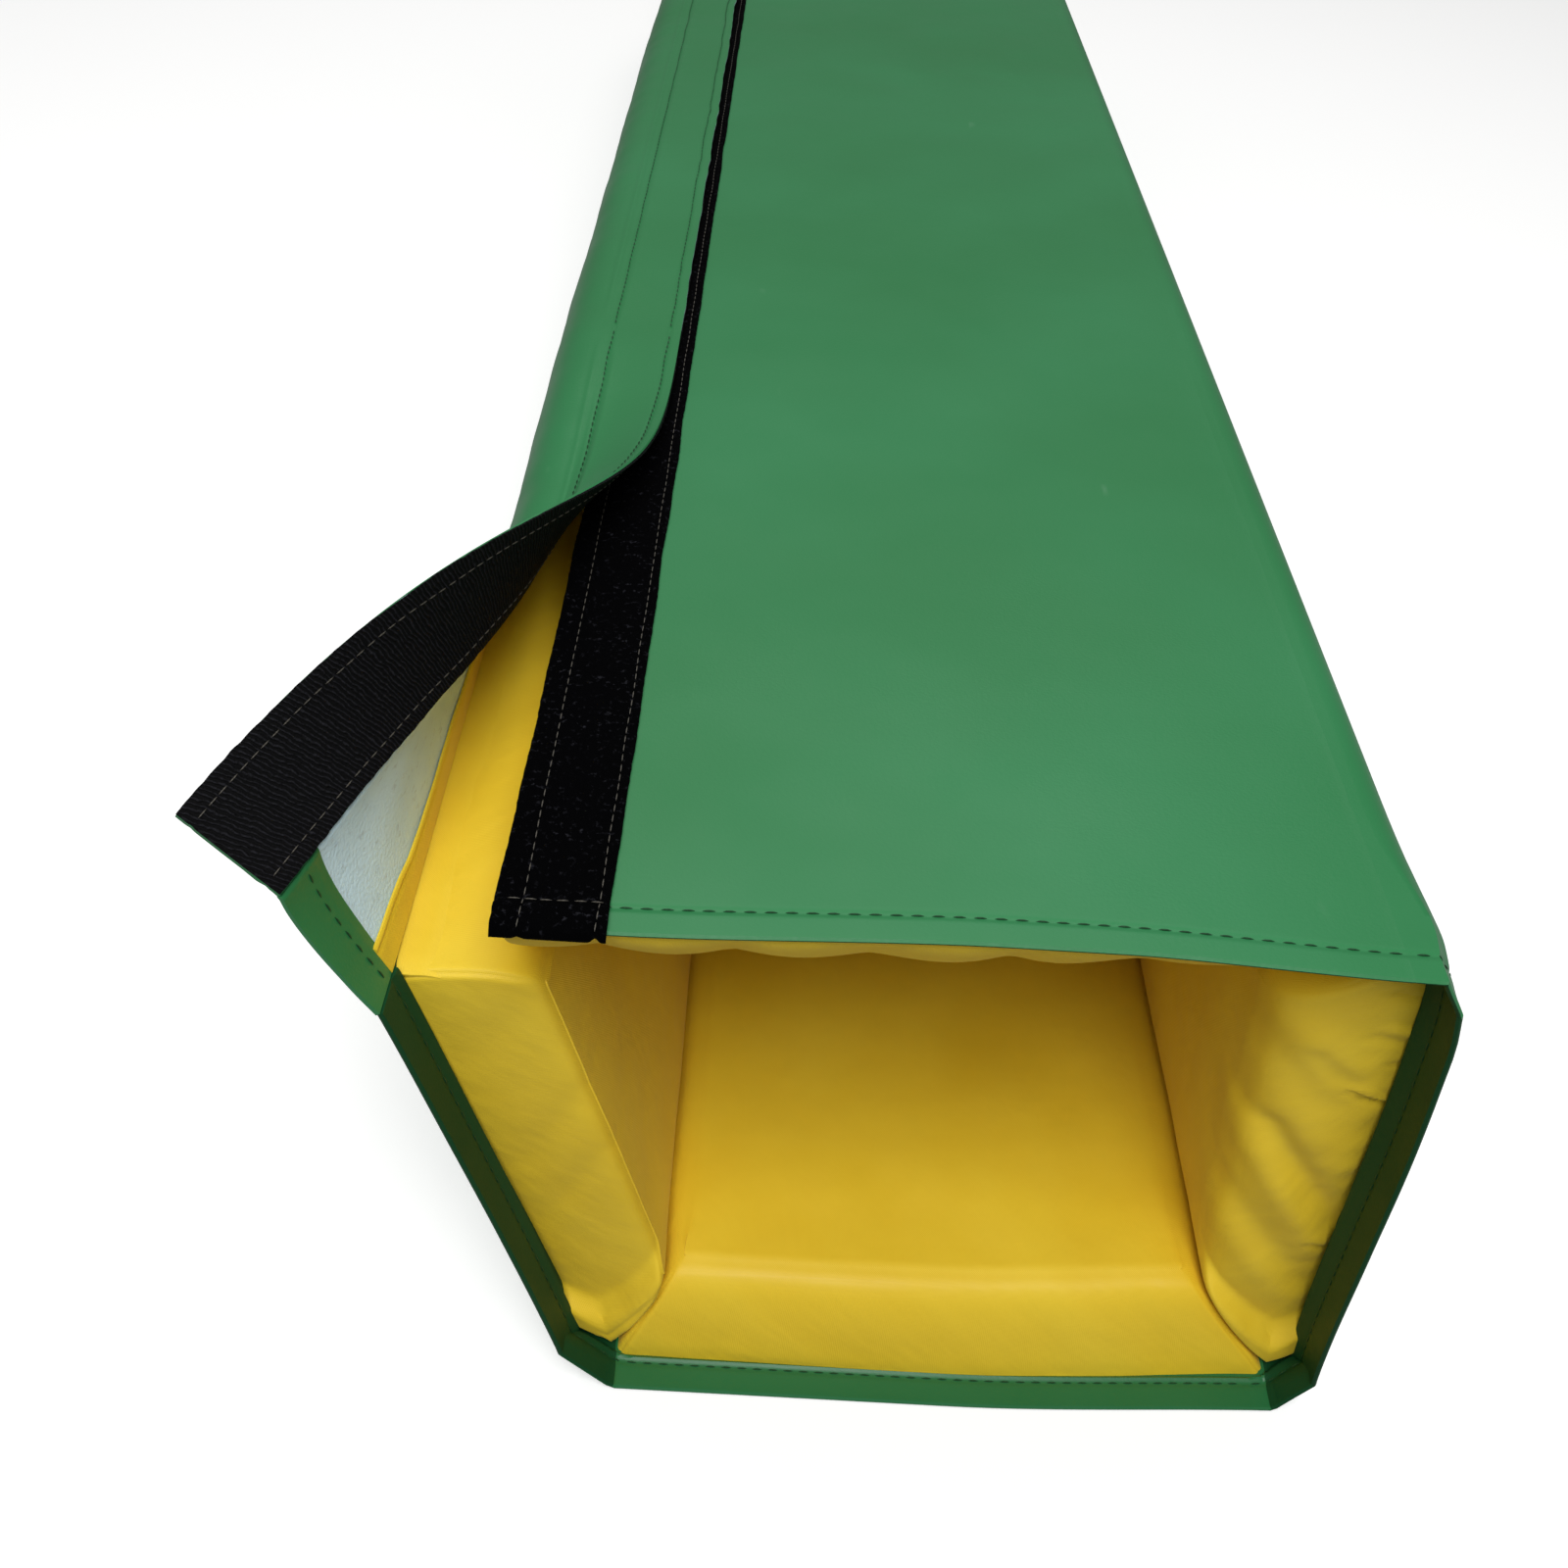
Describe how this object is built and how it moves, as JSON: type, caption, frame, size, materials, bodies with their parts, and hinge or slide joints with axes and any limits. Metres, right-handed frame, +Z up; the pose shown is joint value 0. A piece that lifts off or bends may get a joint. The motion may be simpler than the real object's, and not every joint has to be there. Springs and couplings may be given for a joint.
{
  "type": "post pad",
  "caption": "Wrap-around foam pad for a square basketball post: hinged boards in a coated cover with a nylon lining, closed by a full-length hook-and-loop flap that is peeled open at one end.",
  "frame": {"origin": "middle of the back panel's outer face, on the surface that the pad lies on", "axes": "+X across the pad towards the right panel, +Y along the pad away from the opened end of the flap, +Z up"},
  "size_m": [0.4228, 1.8007, 0.3204],
  "materials": {
    "back_cover": "coated polyester, satin, fine weave under the coating",
    "back_foam": "open-cell foam, matte",
    "back_hem_far": "coated polyester, satin, fine weave under the coating",
    "back_hem_near": "coated polyester, satin, fine weave under the coating",
    "back_lining": "plain woven nylon, soft sheen",
    "corner_back_left": "coated polyester, satin, fine weave under the coating",
    "corner_back_right": "coated polyester, satin, fine weave under the coating",
    "corner_right_front": "coated polyester, satin, fine weave under the coating",
    "flap_cover": "coated polyester, satin, fine weave under the coating",
    "flap_edge_near": "coated polyester, satin, fine weave under the coating",
    "flap_hem_far": "coated polyester, satin, fine weave under the coating",
    "flap_root_hem_near": "coated polyester, satin, fine weave under the coating",
    "flap_root_near": "uncoated back of the cover fabric, matte weave",
    "front_cover": "coated polyester, satin, fine weave under the coating",
    "front_foam": "open-cell foam, matte",
    "front_hem_far": "coated polyester, satin, fine weave under the coating",
    "front_hem_near": "coated polyester, satin, fine weave under the coating",
    "front_lining": "plain woven nylon, soft sheen",
    "hook_tape": "hook side of hook-and-loop tape, fine cross ribs",
    "hook_tape_near": "hook side of hook-and-loop tape, fine cross ribs",
    "left_cover": "coated polyester, satin, fine weave under the coating",
    "left_foam": "open-cell foam, matte",
    "left_hem_far": "coated polyester, satin, fine weave under the coating",
    "left_hem_near": "coated polyester, satin, fine weave under the coating",
    "left_lining": "plain woven nylon, soft sheen",
    "loop_tape": "loop side of hook-and-loop tape, fuzzy",
    "right_cover": "coated polyester, satin, fine weave under the coating",
    "right_foam": "open-cell foam, matte",
    "right_hem_far": "coated polyester, satin, fine weave under the coating",
    "right_hem_near": "coated polyester, satin, fine weave under the coating",
    "right_lining": "plain woven nylon, soft sheen"
  },
  "bodies": {
    "back_panel": {"back_cover": "back_cover", "back_hem_near": "back_hem_near", "back_hem_far": "back_hem_far", "back_foam": "back_foam", "back_lining": "back_lining", "corner_back_left": "corner_back_left", "corner_back_right": "corner_back_right"},
    "left_panel": {"left_cover": "left_cover", "left_hem_near": "left_hem_near", "left_hem_far": "left_hem_far", "left_foam": "left_foam", "left_lining": "left_lining"},
    "right_panel": {"right_cover": "right_cover", "right_hem_near": "right_hem_near", "right_hem_far": "right_hem_far", "right_foam": "right_foam", "right_lining": "right_lining", "corner_right_front": "corner_right_front"},
    "front_panel": {"front_cover": "front_cover", "front_hem_near": "front_hem_near", "front_hem_far": "front_hem_far", "front_foam": "front_foam", "front_lining": "front_lining", "loop_tape": "loop_tape"},
    "flap": {"flap_cover": "flap_cover", "flap_hem_far": "flap_hem_far", "hook_tape": "hook_tape"},
    "flap_root_opened": {"flap_root_near": "flap_root_near", "flap_root_hem_near": "flap_root_hem_near"},
    "flap_edge_opened": {"flap_edge_near": "flap_edge_near", "hook_tape_near": "hook_tape_near"}
  },
  "joints": [
    {"name": "left_fold", "type": "hinge", "parent": "back_panel", "child": "left_panel", "pos_m": [-0.155, 0, 0], "axis": [0, -1, 0], "range_deg": [0, 75.2], "deforming": ["corner_back_left"]},
    {"name": "right_fold", "type": "hinge", "parent": "back_panel", "child": "right_panel", "pos_m": [0.155, 0, 0], "axis": [0, 1, 0], "range_deg": [0, 95.4], "deforming": ["corner_back_right"]},
    {"name": "front_fold", "type": "hinge", "parent": "right_panel", "child": "front_panel", "pos_m": [0.12929, 0, 0.272], "axis": [0, 1, 0], "range_deg": [0, 84.6], "deforming": ["corner_right_front"]},
    {"name": "flap_fold", "type": "hinge", "parent": "left_panel", "child": "flap", "pos_m": [-0.21482, 0, 0.2264], "axis": [0, -1, 0], "range_deg": [0, 100], "deforming": ["flap_cover", "flap_hem_far", "hook_tape"]},
    {"name": "flap_root_close", "type": "hinge", "parent": "flap", "child": "flap_root_opened", "pos_m": [-0.21482, 0, 0.2264], "axis": [0, -1, 0], "range_deg": [-71.4, 0], "deforming": ["flap_root_near", "flap_root_hem_near"]},
    {"name": "flap_edge_close", "type": "hinge", "parent": "flap", "child": "flap_edge_opened", "pos_m": [-0.2133, -0.9, 0.2718], "axis": [-0.1435, -0.9893, -0.0254], "range_deg": [-156, 0], "deforming": ["flap_edge_near", "hook_tape_near"]}
  ],
  "couplings": [
    {"joint": "flap_root_close", "follows": "flap_edge_close", "ratio": 0.4577}
  ]
}
